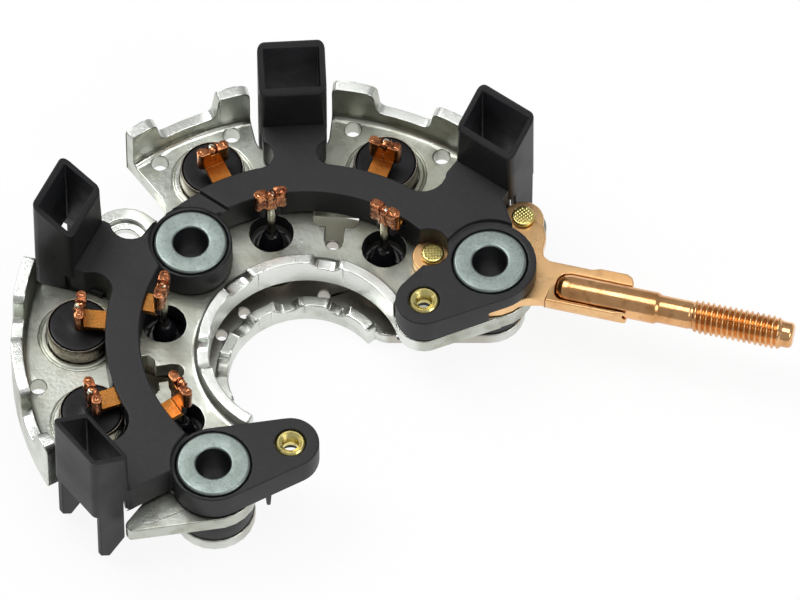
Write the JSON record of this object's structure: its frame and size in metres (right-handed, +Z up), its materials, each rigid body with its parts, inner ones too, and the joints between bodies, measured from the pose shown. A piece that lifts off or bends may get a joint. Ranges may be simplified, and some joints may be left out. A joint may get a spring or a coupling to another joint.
{
  "type": "alternator rectifier",
  "caption": "Three-phase bridge rectifier of an alternator: stacked heat sinks with press-fit diodes, moulded terminal block with lead guides, output stud.",
  "frame": {"origin": "centre of the part's box in plan, on the plane of its feet", "axes": "+X along the length of the part, towards the output stud; +Y towards the rear lead guides; +Z up, out of the faces of the mounting sleeves"},
  "size_m": [0.139, 0.089, 0.0337],
  "materials": {
    "aluminium": "pressed sheet, satin, lightly tarnished",
    "black_moulding": "glass-filled thermoset, fine matte",
    "copper": null,
    "plated_case": "nickel-plated, turned",
    "black_resin": "cast potting resin, glossy",
    "tinned_lead": "tin-plated wire, bright",
    "zinc_plated_steel": "bluish zinc plating, satin",
    "brass": "machined and knurled, bare"
  },
  "bodies": {
    "root": {"upper_heat_sink": "aluminium", "lower_heat_sink": "aluminium", "terminal_block": "black_moulding", "output_bar": "copper", "output_stud": "copper", "upper_diode_case_1": "plated_case", "upper_diode_resin_1": "black_resin", "upper_diode_lead_1": "tinned_lead", "upper_diode_case_2": "plated_case", "upper_diode_resin_2": "black_resin", "upper_diode_lead_2": "tinned_lead", "upper_diode_case_3": "plated_case", "upper_diode_resin_3": "black_resin", "upper_diode_lead_3": "tinned_lead", "upper_diode_case_4": "plated_case", "upper_diode_resin_4": "black_resin", "upper_diode_lead_4": "tinned_lead", "lower_diode_case_1": "plated_case", "lower_diode_resin_1": "black_resin", "lower_diode_lead_1": "tinned_lead", "lower_diode_case_2": "plated_case", "lower_diode_resin_2": "black_resin", "lower_diode_lead_2": "tinned_lead", "lower_diode_case_3": "plated_case", "lower_diode_resin_3": "black_resin", "lower_diode_lead_3": "tinned_lead", "lower_diode_case_4": "plated_case", "lower_diode_resin_4": "black_resin", "lower_diode_lead_4": "tinned_lead", "phase_terminal_1": "copper", "phase_terminal_2": "copper", "phase_terminal_3": "copper", "phase_terminal_4": "copper", "mounting_sleeve_a": "zinc_plated_steel", "insulating_bush_a": "black_moulding", "mounting_sleeve_b": "zinc_plated_steel", "insulating_bush_b": "black_moulding", "mounting_sleeve_c": "zinc_plated_steel", "insulating_bush_c": "black_moulding", "threaded_insert_b": "brass", "threaded_insert_c": "brass", "bar_rivet_1": "brass", "bar_rivet_2": "brass"}
  },
  "joints": []
}
